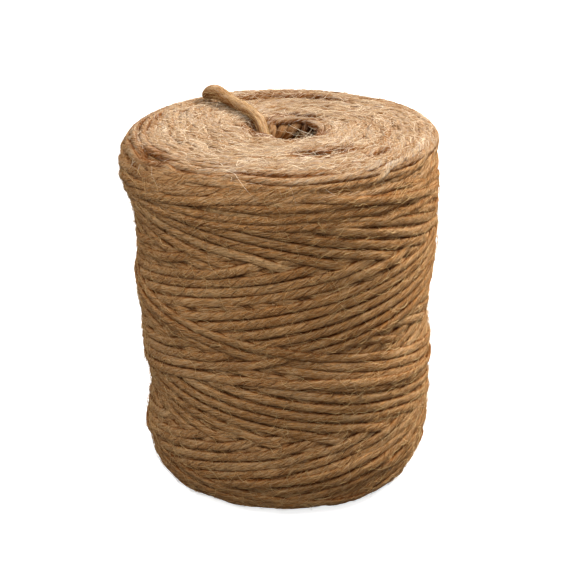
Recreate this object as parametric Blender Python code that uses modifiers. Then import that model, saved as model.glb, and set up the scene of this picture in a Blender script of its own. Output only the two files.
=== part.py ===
# A ball of jute twine wound on a spindle, standing on one flat end, with a hole
# along its axis and the inner end of the twine pulled out over its top.
# Units are metres, +Z is up, the front is -Y, and the origin is the middle of the base.

from math import pi, radians

import bpy
import numpy as np
from mathutils import Vector
from mathutils.geometry import interpolate_bezier

MM = 0.001

# Driving sizes of the wound form.
BALL_HEIGHT = 117.0 * MM
AXIS_X = 1.7 * MM                # the winding axis stands a little off the middle of the base
AXIS_Y = 0.35 * MM
HOLE_RADIUS = 9.8 * MM
HOLE_X = 2.6 * MM                # middle of the hole, which the spindle left off the axis
HOLE_Y = -0.6 * MM
LIP_ACROSS = 2.4 * MM            # how far the hole's rounded lips reach out
LIP_DOWN = 5.5 * MM              # and how far they reach down the hole
TOP_ROUND_ACROSS = 12.8 * MM     # upper shoulder
TOP_ROUND_DOWN = 11.4 * MM
BASE_ROUND_ACROSS = 17.7 * MM    # lower shoulder
BASE_ROUND_UP = 19.2 * MM

# Uneven side of the ball before its shoulders are rounded:
# height, radius towards the left (-X), radius towards the right (+X), all in millimetres.
SIDE_SECTIONS = [
    (0.0, 53.9, 53.9),
    (10.0, 48.8, 49.3),
    (20.0, 47.1, 48.6),
    (31.0, 45.5, 48.6),
    (43.0, 47.8, 48.9),
    (55.0, 47.8, 47.2),
    (67.0, 49.3, 48.1),
    (79.0, 48.1, 49.3),
    (91.0, 48.8, 49.3),
    (102.0, 52.1, 49.0),
    (110.0, 53.7, 49.3),
    (117.0, 55.3, 56.4),
]

# Main twists: the twine climbs and comes down again at this lead, and the newest
# climbing turn crosses the newest falling one at this angle from the front and this height.
TURN_LEAD = 56.0 * MM
CROSSING_ANGLE = radians(22.0)
CROSSING_HEIGHT = 58.0 * MM
TWIST_RELIEF = 0.6 * MM          # how far the newest turns stand proud of the old ones
MEAN_RIDGE = 0.6                 # middle value of the higher of two crossing waves

# Rows and steps of the mesh.
TURN_STEPS = 90
SIDE_ROWS = 21
SHOULDER_ROWS = 6
LIP_ROWS = 3
FACE_ROWS = 5
WALL_ROWS = 5

# Loose end: the inner end of the twine, from the hole's left wall over the lip and
# across the top to the rim at the back left. x, y and z in millimetres.
TWINE_DIAMETER = 3.6 * MM
LOOSE_END_ROUTE = [
    (-4.6, -3.2, 97.0),
    (-4.7, -2.5, 101.7),
    (-4.75, -1.8, 106.4),
    (-4.9, -1.0, 110.9),
    (-5.4, 0.1, 115.1),
    (-6.6, 2.9, 118.2),
    (-8.3, 6.7, 119.4),
    (-10.4, 10.9, 119.3),
    (-12.6, 15.2, 119.2),
    (-15.1, 19.6, 119.4),
    (-17.7, 23.6, 120.1),
    (-20.3, 27.0, 120.8),
    (-23.1, 29.8, 120.6),
    (-25.9, 31.8, 119.4),
]
LOOSE_END_POINTS = 25


def smooth_column(rows, column, heights):
    """Radius from the table at each height, eased between rows by a half cosine."""
    table = np.array(rows) * MM
    edges = table[:, 0]
    row = np.clip(np.searchsorted(edges, heights) - 1, 0, len(edges) - 2)
    share = (heights - edges[row]) / (edges[row + 1] - edges[row])
    eased = (1 - np.cos(pi * share)) / 2
    half = (share + eased) / 2
    return table[row, column] * (1 - half) + table[row + 1, column] * half


def side_radius(heights):
    """Mean of the left and right radius at each height."""
    left = smooth_column(SIDE_SECTIONS, 1, heights)
    right = smooth_column(SIDE_SECTIONS, 2, heights)
    return (left + right) / 2


def side_lean(heights):
    """Half of what the right radius has over the left one at each height."""
    left = smooth_column(SIDE_SECTIONS, 1, heights)
    right = smooth_column(SIDE_SECTIONS, 2, heights)
    return (right - left) / 2


def quarter(count, start, end):
    """Angles of a quarter round, without its last point, which the next stretch starts with."""
    return np.linspace(start, end, count, endpoint=False)


def ball_profile():
    """Closed outline of one side of the ball, as radius and height.

    It runs down the outer side, in along the base, up the hole and out over the top.
    """
    radii = []
    heights = []

    def add(radius, height):
        radius, height = np.broadcast_arrays(radius, height)
        radii.extend(radius)
        heights.extend(height)

    turn = quarter(SHOULDER_ROWS, pi / 2, 0.0)
    height = BALL_HEIGHT - TOP_ROUND_DOWN * (1 - np.sin(turn))
    add(side_radius(height) - TOP_ROUND_ACROSS * (1 - np.cos(turn)), height)

    height = np.linspace(BALL_HEIGHT - TOP_ROUND_DOWN, BASE_ROUND_UP, SIDE_ROWS, endpoint=False)
    add(side_radius(height), height)

    turn = quarter(SHOULDER_ROWS + 1, 0.0, pi / 2)
    height = BASE_ROUND_UP * (1 - np.sin(turn))
    add(side_radius(height) - BASE_ROUND_ACROSS * (1 - np.cos(turn)), height)

    mouth = HOLE_RADIUS + LIP_ACROSS
    base_edge = side_radius(np.array([0.0]))[0] - BASE_ROUND_ACROSS
    add(np.linspace(base_edge, mouth, FACE_ROWS, endpoint=False), 0.0)

    turn = quarter(LIP_ROWS, 0.0, pi / 2)
    add(mouth - LIP_ACROSS * np.sin(turn), LIP_DOWN * (1 - np.cos(turn)))

    add(HOLE_RADIUS, np.linspace(LIP_DOWN, BALL_HEIGHT - LIP_DOWN, WALL_ROWS, endpoint=False))

    turn = quarter(LIP_ROWS, 0.0, pi / 2)
    add(mouth - LIP_ACROSS * np.cos(turn), BALL_HEIGHT - LIP_DOWN * (1 - np.sin(turn)))

    top_edge = side_radius(np.array([BALL_HEIGHT]))[0] - TOP_ROUND_ACROSS
    add(np.linspace(mouth, top_edge, FACE_ROWS, endpoint=False), BALL_HEIGHT)
    return np.array(radii), np.array(heights)


def turned(name, radii, heights, steps):
    """Mesh of a closed outline turned about Z by a Screw modifier."""
    count = len(radii)
    points = np.column_stack([radii, np.zeros(count), heights])
    outline = bpy.data.meshes.new(name + "_outline")
    outline.from_pydata(points, [(i, (i + 1) % count) for i in range(count)], [])
    holder = bpy.data.objects.new(name + "_outline", outline)
    bpy.context.scene.collection.objects.link(holder)
    screw = holder.modifiers.new("turn", "SCREW")
    screw.steps = steps
    screw.render_steps = steps
    screw.use_merge_vertices = True
    screw.merge_threshold = 0.01 * MM
    depsgraph = bpy.context.evaluated_depsgraph_get()
    mesh = bpy.data.meshes.new_from_object(holder.evaluated_get(depsgraph))
    mesh.name = name
    bpy.data.objects.remove(holder)
    bpy.data.meshes.remove(outline)
    return mesh


def twist_relief(angle, height):
    """Height of the crossing bands: a ridge along the newest climbing turn and one along
    the newest falling turn, each fading over the older turns beside it."""
    turned_by = (angle - CROSSING_ANGLE) * TURN_LEAD / (2 * pi)
    climbing = np.cos(2 * pi * (height - CROSSING_HEIGHT - turned_by) / TURN_LEAD)
    falling = np.cos(2 * pi * (height - CROSSING_HEIGHT + turned_by) / TURN_LEAD)
    return TWIST_RELIEF * (np.maximum(climbing, falling) - MEAN_RIDGE)


def make_uneven(mesh):
    """Push the turned form out of true: lopsided side, crossing bands, hole off the axis."""
    count = len(mesh.vertices)
    points = np.empty(count * 3)
    mesh.vertices.foreach_get("co", points)
    points = points.reshape(count, 3)
    radius = np.hypot(points[:, 0], points[:, 1])
    angle = np.arctan2(points[:, 0], -points[:, 1])
    height = np.clip(points[:, 2], 0.0, BALL_HEIGHT)

    mouth = HOLE_RADIUS + LIP_ACROSS
    outward = np.clip((radius - mouth) / (side_radius(height) - mouth), 0.0, 1.0)
    base_share = np.clip(height / BASE_ROUND_UP, 0.0, 1.0)
    top_share = np.clip((BALL_HEIGHT - height) / TOP_ROUND_DOWN, 0.0, 1.0)
    on_side = outward * base_share * top_share

    pushed = radius + outward * side_lean(height) * np.sin(angle)
    pushed += on_side * twist_relief(angle, height)
    points[:, 0] = pushed * np.sin(angle) + AXIS_X * outward + HOLE_X * (1 - outward)
    points[:, 1] = -pushed * np.cos(angle) + AXIS_Y * outward + HOLE_Y * (1 - outward)
    mesh.vertices.foreach_set("co", points.ravel())
    mesh.update()


def fibre_material(name, colour):
    """Dry, matt plant fibre."""
    material = bpy.data.materials.new(name)
    material.use_nodes = True
    shader = material.node_tree.nodes["Principled BSDF"]
    shader.inputs["Base Color"].default_value = (*colour, 1.0)
    shader.inputs["Roughness"].default_value = 0.9
    shader.inputs["Metallic"].default_value = 0.0
    return material


def add_wound_ball(collection):
    """The wound form with its shoulders, flat ends and hole."""
    radii, heights = ball_profile()
    mesh = turned("wound_ball", radii, heights, TURN_STEPS)
    make_uneven(mesh)
    mesh.shade_smooth()
    mesh.set_sharp_from_angle(angle=radians(50.0))
    mesh.materials.append(fibre_material("jute_wound", (0.34, 0.22, 0.12)))
    ball = bpy.data.objects.new("wound_ball", mesh)
    collection.objects.link(ball)


def smooth_route(points, count):
    """Evenly spaced points on the smooth curve through a route's own points."""
    knots = [Vector(point) * MM for point in points]
    padded = [knots[0] * 2 - knots[1]] + knots + [knots[-1] * 2 - knots[-2]]
    dense = []
    for before, here, there, after in zip(padded, padded[1:], padded[2:], padded[3:]):
        handle_out = here + (there - before) / 6
        handle_in = there - (after - here) / 6
        dense.extend(interpolate_bezier(here, handle_out, handle_in, there, 24)[:-1])
    dense.append(knots[-1])
    dense = np.array(dense)
    run = np.append(0.0, np.cumsum(np.linalg.norm(np.diff(dense, axis=0), axis=1)))
    even = np.linspace(0.0, run[-1], count)
    return np.column_stack([np.interp(even, run, dense[:, axis]) for axis in range(3)])


def add_loose_end(collection):
    """The free end of the twine as a plain tube along its route."""
    route = smooth_route(LOOSE_END_ROUTE, LOOSE_END_POINTS)
    curve = bpy.data.curves.new("loose_end", "CURVE")
    curve.dimensions = "3D"
    curve.bevel_depth = TWINE_DIAMETER / 2
    curve.bevel_resolution = 2
    curve.use_fill_caps = True
    spline = curve.splines.new("POLY")
    spline.points.add(len(route) - 1)
    for spline_point, place in zip(spline.points, route):
        spline_point.co = (*place, 1.0)
    curve.materials.append(fibre_material("jute_twine", (0.42, 0.28, 0.16)))
    loose_end = bpy.data.objects.new("loose_end", curve)
    collection.objects.link(loose_end)


for leftover in list(bpy.data.objects):
    bpy.data.objects.remove(leftover)

twine_ball = bpy.data.collections.new("ball_of_twine")
bpy.context.scene.collection.children.link(twine_ball)
add_wound_ball(twine_ball)
add_loose_end(twine_ball)
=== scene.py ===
from functools import partial

import bpy
import numpy as np
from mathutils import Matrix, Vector


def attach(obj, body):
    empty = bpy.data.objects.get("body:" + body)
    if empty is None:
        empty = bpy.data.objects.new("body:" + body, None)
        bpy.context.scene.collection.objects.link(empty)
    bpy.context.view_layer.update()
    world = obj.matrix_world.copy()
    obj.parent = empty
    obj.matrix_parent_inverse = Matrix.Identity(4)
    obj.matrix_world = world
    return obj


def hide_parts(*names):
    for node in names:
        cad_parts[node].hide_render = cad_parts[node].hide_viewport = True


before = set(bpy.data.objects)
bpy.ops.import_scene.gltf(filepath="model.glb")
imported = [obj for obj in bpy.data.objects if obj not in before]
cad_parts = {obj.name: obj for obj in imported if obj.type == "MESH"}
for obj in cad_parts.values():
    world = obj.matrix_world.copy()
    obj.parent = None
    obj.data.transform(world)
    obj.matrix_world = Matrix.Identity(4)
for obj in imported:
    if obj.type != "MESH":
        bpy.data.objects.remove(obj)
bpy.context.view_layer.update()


# Camera. A long lens looks down on the ball from the front, 400 mm away, at the angle
# that was fitted to the outline of the ball in the photograph.

MM = 0.001                       # in metres
SENSOR_WIDTH = 36.0              # mm
LENS = 80.49                     # mm
CAMERA_PLACE = (3.9 * MM, -400.0 * MM, 233.25 * MM)
CAMERA_PITCH = np.radians(66.5)

camera = bpy.data.objects.new("camera", bpy.data.cameras.new("camera"))
camera.data.sensor_width = SENSOR_WIDTH
camera.data.lens = LENS
camera.location = CAMERA_PLACE
camera.rotation_euler = (CAMERA_PITCH, 0.0, 0.0)
bpy.context.collection.objects.link(camera)
bpy.context.scene.camera = camera
bpy.context.scene.view_settings.view_transform = "Standard"


# Loose end of the twine. It is the inner end of the same three-ply jute twine, pulled up
# out of the hole, bent over the lip and laid across the top, where its cut tip has opened
# a little. Nothing holds it but its own stiffness.

LOOSE_ROUTE = np.array([         # from inside the hole to the tip, as in the part
    (-4.6, -3.2, 97.0),
    (-4.7, -2.5, 101.7),
    (-4.75, -1.8, 106.4),
    (-4.9, -1.0, 110.9),
    (-5.4, 0.1, 115.1),
    (-6.6, 3.0, 117.6),
    (-8.3, 7.2, 118.3),
    (-10.4, 11.6, 118.4),
    (-12.6, 15.8, 118.5),
    (-15.1, 19.9, 118.7),
    (-17.7, 23.6, 119.3),
    (-20.3, 26.8, 120.1),
    (-23.2, 29.4, 120.0),
    (-26.0, 31.0, 118.1),
]) * MM
LOOSE_LENGTH = 58.6 * MM
LOOSE_SHARES = [0, 0.3, 0.62, 0.78, 0.89, 0.95, 1.0]             # of the length, up to the tip
LOOSE_HALVES = [1.6, 1.6, 1.7, 2.05, 2.45, 2.3, 1.3]             # mm, half the thickness there
LOOSE_LAY = 34 * MM              # pulled out of the ball, it has lost most of its twist
LOOSE_SIDE = [0.83, 0.55, 0.0]   # a direction across it
SHADED_FLANK = np.array([-0.62, -0.45, -0.64])                     # the direction of its flank with painted shade
# how far that painted shade darkens the tone, and raises the shade value
FLANK_SHADE_TONE, FLANK_SHADE = 0.28, 0.75
TWINE_LAY = 12.0 * MM            # length of one full turn of a ply round the twine
PLIES = 3
FIBRE_TURN = 0.4                 # share of the plies' turn that the fibres on their surface make
EDGE_START = 0.71                # share of the half width where the painted shade of the gap to the next turn begins
END_WIDTH = 0.72                 # share of the radius at the first and last ring of a run
END_DOME = 0.35                  # share of the radius that the end of a run bulges out


def linear(code):
    """A colour given as sRGB hex, as linear light with alpha 1."""
    parts = np.array([int(code[i:i + 2], 16) for i in (1, 3, 5)]) / 255.0
    light = np.where(parts <= 0.04045, parts / 12.92, ((parts + 0.055) / 1.055) ** 2.4)
    return (*light.tolist(), 1.0)


def add_node(tree, kind, inputs, **settings):
    """A node of that kind. Settings are its own options, and inputs go by name or in the node's order.

    An input is a value, the socket that feeds it, or the node whose first output in use feeds it.
    """
    made = tree.nodes.new("ShaderNode" + kind)
    for name, value in settings.items():
        setattr(made, name, value)
    for name, value in (inputs.items() if isinstance(inputs, dict) else enumerate(inputs)):
        if isinstance(value, bpy.types.Node):
            value = next(socket for socket in value.outputs if socket.enabled)
        if isinstance(value, bpy.types.NodeSocket):
            tree.links.new(value, made.inputs[name])
        else:
            made.inputs[name].default_value = value
    return made


def smooth_line(points, step):
    """Points every step along a curve that passes through the given ones.

    Each stretch is a cubic, worked out at sixty places, whose slope at a given point is half
    the way from the point before it to the point after it.
    """
    before = np.concatenate([2 * points[:1] - points[1:2], points[:-1]])
    after = np.concatenate([points[1:], 2 * points[-1:] - points[-2:-1]])
    slope = (after - before) / 2
    share = np.linspace(0, 1, 60, endpoint=False)[None, :, None]
    start, end = points[:-1, None], points[1:, None]
    leave, arrive = slope[:-1, None], slope[1:, None]
    curve = ((2 * share ** 3 - 3 * share ** 2 + 1) * start + (share ** 3 - 2 * share ** 2 + share) * leave
             + (3 * share ** 2 - 2 * share ** 3) * end + (share ** 3 - share ** 2) * arrive)
    curve = np.concatenate([curve.reshape(-1, 3), points[-1:]])
    travelled = distances(curve)
    return read_off(np.linspace(0, travelled[-1], int(round(travelled[-1] / step)) + 1), travelled, curve)


def distances(line):
    """Distance from the start of a line of points to each of them."""
    return np.concatenate([[0.0], np.cumsum(np.linalg.norm(np.diff(line, axis=0), axis=1))])


def read_off(places, at, rows):
    """Rows at the given places, on straight lines between the rows that are known at the ascending values."""
    return np.stack([np.interp(places, at, column) for column in rows.T], axis=-1)


def unit(vectors):
    """The vectors with their length made 1."""
    return vectors / np.linalg.norm(vectors, axis=-1, keepdims=True)


def tube_faces(rings, sides):
    """Four-sided faces from each given ring of points to the next one, all rings having the same sides."""
    ring = rings[:, None] * sides
    here = np.arange(sides)[None, :]
    beside = (here + 1) % sides
    faces = np.stack([ring + here, ring + beside, ring + sides + beside, ring + sides + here], axis=-1)
    return faces.reshape(-1, 4)


def twine_surface(centres, outward, run, travelled, radius, tone, brushed, sunk, rough, section, relief, lay,
                  rolled=False):
    """Vertices, faces and surface values of lengths of plied twine, all runs in one pass.

    The section is a ring of points across and out from the centre line, in shares of the
    radius. Its outline sinks by the share relief where two plies meet, which is where the
    sine of half the ply count times the ply angle is 0. The ply angle goes round once in each
    lay, as an S twist. A rolled section turns with the plies, and any other keeps its flat
    side outwards while the plies pass through it. rough is how far, as a share, the loose
    fibres push each point in or out. A run ends in a small dome with its pole on the centre
    line. The shade value is painted shade: how far towards its neighbours a point lies, which
    darkens the gap between two turns, and sunk, painted shade for a place that is sunk or deep
    in the hole, raises it to 1 all over. brushed is the share of painted top light and sheen.
    """
    sides = len(section)
    radius, tone, brushed, sunk = (np.broadcast_to(value, len(centres))
                                   for value in (radius, tone, brushed, sunk))
    same = run[1:] == run[:-1]
    ahead = np.where(same[:, None], centres[1:] - centres[:-1], 0.0)
    tangent = np.zeros_like(centres)
    tangent[:-1] += ahead
    tangent[1:] += ahead
    tangent = unit(tangent)
    outward = unit(outward - tangent * (outward * tangent).sum(axis=1, keepdims=True))
    across = np.cross(tangent, outward)

    first = np.concatenate([[True], ~same])
    last = np.concatenate([~same, [True]])
    own = np.broadcast_to(np.arctan2(section[:, 0], section[:, 1]), (len(centres), sides))
    reach = np.hypot(section[:, 0], section[:, 1])[None, :]
    twist = (2 * np.pi * travelled / lay)[:, None]
    ply, turned = (own, own - twist) if rolled else (own + twist, own)
    crown = 1 - relief * (1 - abs(np.sin(PLIES / 2 * ply))) ** 2
    pushed = 1 + rough * np.random.default_rng(len(centres)).normal(0, 1, turned.shape)
    width = radius[:, None] * reach * crown * pushed * np.where(first | last, END_WIDTH, 1.0)[:, None]
    rings = (centres[:, None] + outward[:, None] * (width * np.cos(turned))[..., None]
             + across[:, None] * (width * np.sin(turned))[..., None])
    poles = np.concatenate([centres[first] - tangent[first] * radius[first, None] * END_DOME,
                            centres[last] + tangent[last] * radius[last, None] * END_DOME])

    here = np.arange(sides)[None, :]
    beside = (here + 1) % sides
    starts, ends = np.flatnonzero(first)[:, None], np.flatnonzero(last)[:, None]
    pole = len(centres) * sides + np.arange(len(starts))[:, None]
    caps = [np.stack(np.broadcast_arrays(*corners), axis=-1).reshape(-1, 3) for corners in (
        (pole, starts * sides + beside, starts * sides + here),
        (pole + len(starts), ends * sides + here, ends * sides + beside))]

    lying = turned if rolled else own + FIBRE_TURN * twist
    grain = np.stack(np.broadcast_arrays(travelled[:, None] * 1000, radius[:, None] * 1000 * np.cos(lying),
                                         radius[:, None] * 1000 * np.sin(lying)), axis=-1)
    plies = np.stack([np.cos(ply), np.sin(ply), 0 * ply], axis=-1)
    # Painted shade towards the neighbouring turns, and all over where the turn is sunk.
    edge = np.where(section[:, 1] < -0.5, 1.0, abs(section[:, 0])) * (not rolled)
    shade = np.maximum(edge[None, :], EDGE_START + (1 - EDGE_START) * sunk[:, None])
    values = {"shade": np.concatenate([shade.reshape(-1), shade[first].max(axis=1), shade[last].max(axis=1)])}
    for name, value in (("tone", tone), ("brushed", brushed)):
        values[name] = np.concatenate([np.repeat(value, sides), value[first], value[last]])
    for name, value in (("grain", grain), ("plies", plies)):
        values[name] = np.concatenate([value.reshape(-1, 3), value[first, 0], value[last, 0]])
    faces = (tube_faces(np.flatnonzero(same), sides), np.concatenate(caps))
    return np.concatenate([rings.reshape(-1, 3), poles]), faces, values


def make_piece(name, stands_for, vertices, faces, values, material):
    """One smooth mesh at the origin in place of a CAD node, from whole arrays of vertices and faces."""
    mesh = bpy.data.meshes.new(name)
    corners = np.concatenate([group.reshape(-1) for group in faces])
    sizes = np.concatenate([np.full(len(group), group.shape[1]) for group in faces])
    mesh.vertices.add(len(vertices))
    mesh.loops.add(len(corners))
    mesh.polygons.add(len(sizes))
    mesh.vertices.foreach_set("co", np.asarray(vertices, np.float32).reshape(-1))
    mesh.loops.foreach_set("vertex_index", corners.astype(np.int32))
    mesh.polygons.foreach_set("loop_start", np.concatenate([[0], np.cumsum(sizes)[:-1]]).astype(np.int32))
    mesh.polygons.foreach_set("use_smooth", np.ones(len(sizes), bool))
    mesh.update(calc_edges=True)
    mesh.validate()
    for value_name, value in values.items():
        kind, field = ("FLOAT_VECTOR", "vector") if value.ndim == 2 else ("FLOAT", "value")
        mesh.attributes.new(value_name, kind, "POINT").data.foreach_set(field, value.reshape(-1))
    mesh.materials.append(material)
    piece = bpy.data.objects.new(name, mesh)
    bpy.context.collection.objects.link(piece)
    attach(piece, "root")
    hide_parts(stands_for)
    return piece


def empty_material(name):
    """A material without nodes, and the function that adds one to it."""
    material = bpy.data.materials.new(name)
    material.use_nodes = True
    material.node_tree.nodes.clear()
    return material, partial(add_node, material.node_tree)


def jute_material(name, groove_shade, groove_lift):
    """Jute yarn: bundles of long fibres, dull and dry, with brighter and darker streaks along them.

    The streaks are noise stretched eight times along the twine, about 0.4 mm across, and thin
    pale lines where slower noise crosses its middle value are the fibres that lie loose on the
    yarn. Both are coarser than real fibres so that they show. The groove between two plies is
    where the sine of one and a half times the ply angle is 0, and painted shade darkens it. Slow
    noise makes patches of paler and browner yarn, where the grooves are open or felted over, and
    short noise breaks the grooves and the gaps between turns into dashes. The gaps between turns
    and the flecks between fibres get painted shade too. Yarn with painted top light and sheen,
    as on the faces, is paler, and its painted shade in grooves and gaps is wider and deeper.
    """
    material, node = empty_material(name)
    grain, plies, tone, in_shade, brushed = (
        node("Attribute", (), attribute_name=label).outputs[socket] for label, socket in (
            ("grain", "Vector"), ("plies", "Vector"), ("tone", "Fac"), ("shade", "Fac"), ("brushed", "Fac")))

    # The groove is 1 where two plies meet.
    split = node("SeparateXYZ", (plies,))
    ply_angle = node("Math", (split.outputs["Y"], split.outputs["X"]), operation="ARCTAN2")
    half_turns = node("Math", (ply_angle, PLIES / 2), operation="MULTIPLY")
    wave = node("Math", (half_turns,), operation="SINE")
    height_of_ply = node("Math", (wave,), operation="ABSOLUTE")
    groove = node("MapRange", (height_of_ply, 0.0, 0.42, 1.0, 0.0))

    # The yarn's own colour runs from dark to light with the streaks, the patches and the tone of its run.
    along = node("Mapping", {"Vector": grain, "Scale": (0.12, 1.0, 1.0)})
    streaks = node("TexNoise", {"Vector": along, "Scale": 2.6, "Detail": 2.5, "Roughness": 0.65})
    patches = node("TexNoise", {"Vector": along, "Scale": 0.3, "Detail": 1.0})
    low_end = node("Math", (brushed, 0.04, 0.29), operation="MULTIPLY_ADD")
    high_end = node("Math", (1.0, low_end), operation="SUBTRACT")
    spread = node("MapRange", (streaks, low_end, high_end))
    patch = node("MapRange", (patches, 0.3, 0.7, -0.14, 0.14))
    mixed = node("Math", (spread, patch), operation="ADD")
    toned = node("Math", (mixed, tone), operation="ADD")
    shades = []
    # Each palette runs dark, light, middle; the second is a paler, lit copy for painted top light and sheen.
    for dark, middle, light in (("#86562D", "#B5814D", "#D5AC7B"), ("#8F6036", "#CBAA82", "#F1E4CE")):
        ramp = node("ValToRGB", (toned,))
        ramp.color_ramp.elements[0].color = linear(dark)
        ramp.color_ramp.elements[1].color = linear(light)
        ramp.color_ramp.elements.new(0.5).color = linear(middle)
        shades.append(ramp)
    yarn = node("Mix", {"Factor": brushed, "A": shades[0], "B": shades[1]}, data_type="RGBA")

    # Pale loose fibres lie over it.
    lines = []
    for scale, width in ((1.1, 0.022), (1.9, 0.03)):
        slow = node("TexNoise", {"Vector": along, "Scale": scale, "Detail": 2.0, "Roughness": 0.6})
        away = node("Math", (slow, 0.5), operation="SUBTRACT")
        near = node("Math", (away,), operation="ABSOLUTE")
        lines.append(node("MapRange", (near, 0.0, width, 1.0, 0.0)))
    fuzz = node("Math", lines, operation="MAXIMUM")
    fuzz_mix = node("Math", (fuzz, 0.45), operation="MULTIPLY")
    fuzzy = node("Mix", {"Factor": fuzz_mix, "A": yarn, "B": linear("#E4C498")}, data_type="RGBA")

    # Painted shade is the darkest of that in the ply grooves, in the gap beside a turn and in the flecks
    # between fibres.
    short = node("Mapping", {"Vector": grain, "Scale": (0.3, 1.0, 1.0)})
    dashes = node("TexNoise", {"Vector": short, "Scale": 1.5, "Detail": 1.5, "Roughness": 0.55,
                               "Distortion": 0.4})
    broken = node("MapRange", (dashes, 0.38, 0.6, groove_shade, groove_shade * 0.25))
    deeper = node("Math", (brushed, 0.5, 1.0), operation="MULTIPLY_ADD")
    felted = node("MapRange", (patches, 0.36, 0.64, 1.15, 0.3))
    open_groove = node("Math", (groove, felted), operation="MULTIPLY")
    groove_there = node("Math", (open_groove, deeper), operation="MULTIPLY")
    ply_shade = node("Math", (groove_there, broken), operation="MULTIPLY")
    gap_depth = node("MapRange", (dashes, 0.4, 0.62, 0.95, 0.6))
    ragged = node("Math", (streaks, 0.35, in_shade), operation="MULTIPLY_ADD")
    wider = node("Math", (brushed, 0.12, ragged), operation="MULTIPLY_ADD")
    edge_shade = node("MapRange", (wider, EDGE_START + 0.21, 1.09, 0.0, gap_depth))
    fleck = node("MapRange", (dashes, 0.39, 0.48, 1.0, 0.0))
    fleck_share = node("Math", (brushed, 0.10, 0.22), operation="MULTIPLY_ADD")
    fleck_shade = node("Math", (fleck, fleck_share), operation="MULTIPLY")
    line_shade = node("Math", (ply_shade, edge_shade), operation="MAXIMUM")
    shade = node("Math", (line_shade, fleck_shade), operation="MAXIMUM")
    depth = node("Mix", {"Factor": brushed, "A": linear("#5C2D05"), "B": linear("#6B3503")}, data_type="RGBA")
    colour = node("Mix", {"Factor": shade, "A": fuzzy, "B": depth}, data_type="RGBA")

    # The surface rises with streaks and loose fibres and falls in grooves and flecks, in shares of 1 mm.
    groove_low = node("Math", (open_groove, -groove_lift), operation="MULTIPLY")
    streak_low = node("Math", (streaks, 0.35, groove_low), operation="MULTIPLY_ADD")
    fleck_low = node("Math", (fleck, -0.15, streak_low), operation="MULTIPLY_ADD")
    lift = node("Math", (fuzz, 0.10, fleck_low), operation="MULTIPLY_ADD")
    raised = node("Math", (brushed, 0.8, 1.0), operation="MULTIPLY_ADD")
    lift_there = node("Math", (lift, raised), operation="MULTIPLY")
    bump = node("Bump", {"Height": lift_there, "Distance": 1.0 * MM, "Strength": 1.0})
    shader = node("BsdfPrincipled", {"Base Color": colour, "Roughness": 0.86, "IOR": 1.5,
                                     "Specular IOR Level": 0.02, "Normal": bump})
    node("OutputMaterial", (shader,))
    return material


loose_line = smooth_line(LOOSE_ROUTE, 0.6 * MM)
loose_count = len(loose_line)
loose_radius = np.interp(np.linspace(0, 1, loose_count), LOOSE_SHARES, LOOSE_HALVES) * MM
loose_travelled = np.arange(loose_count) * (LOOSE_LENGTH / (loose_count - 1))
fine_turn = np.radians(np.arange(0, 360, 15))
fine_ring = np.stack([np.sin(fine_turn), np.cos(fine_turn)], axis=1)
loose_vertices, loose_faces, loose_values = twine_surface(
    loose_line, np.broadcast_to(LOOSE_SIDE, loose_line.shape), np.zeros(loose_count, int), loose_travelled,
    loose_radius, tone=-0.05, brushed=0.5, sunk=0.0, rough=0.012, section=fine_ring, relief=0.09,
    lay=LOOSE_LAY, rolled=True)
loose_rings = loose_vertices[:loose_count * len(fine_ring)].reshape(loose_count, -1, 3) - loose_line[:, None]
# Painted shade on the flank away from the main light: a darker tone and a higher shade value.
painted_flank = np.clip(loose_rings @ SHADED_FLANK / loose_radius[:, None], 0, 1).reshape(-1)
loose_values["tone"][:len(painted_flank)] -= FLANK_SHADE_TONE * painted_flank
loose_values["shade"][:len(painted_flank)] = EDGE_START + (1 - EDGE_START) * FLANK_SHADE * painted_flank ** 2
loose_end = make_piece("loose_end_twine", "loose_end", loose_vertices, loose_faces, loose_values,
                       jute_material("loose_jute_yarn", groove_shade=0.5, groove_lift=0.16))


# Wound turns of the same twine. A machine lays it on a turning spindle while a guide runs up and
# down, four turns and a bit more to a double stroke. The turns are laid here in the same order,
# each bearing on those under it, and only the stretches that can be seen become twine.

AXIS_PLACE = np.array([1.7, 0.35])       # middle of the ball's outside
HOLE_PLACE = np.array([2.6, -0.6])       # middle of the hole
HOLE_RADIUS = 9.8
BALL_HEIGHT = 117.0
SIDE_SECTIONS = np.array([       # height, and radius on the left and on the right
    (0.0, 53.9, 53.9),
    (10.0, 48.8, 49.3),
    (20.0, 47.1, 48.6),
    (31.0, 45.5, 48.6),
    (43.0, 47.8, 48.9),
    (55.0, 47.8, 47.2),
    (67.0, 49.3, 48.1),
    (79.0, 48.1, 49.3),
    (91.0, 48.8, 49.3),
    (102.0, 52.1, 49.0),
    (110.0, 53.7, 49.3),
    (117.0, 55.3, 56.4),
])
TOP_ROUND_ACROSS, TOP_ROUND_DOWN = 12.8, 11.4
BASE_ROUND_ACROSS, BASE_ROUND_UP = 17.7, 19.2
LIP_ACROSS, LIP_DOWN = 2.4, 5.5

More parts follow.
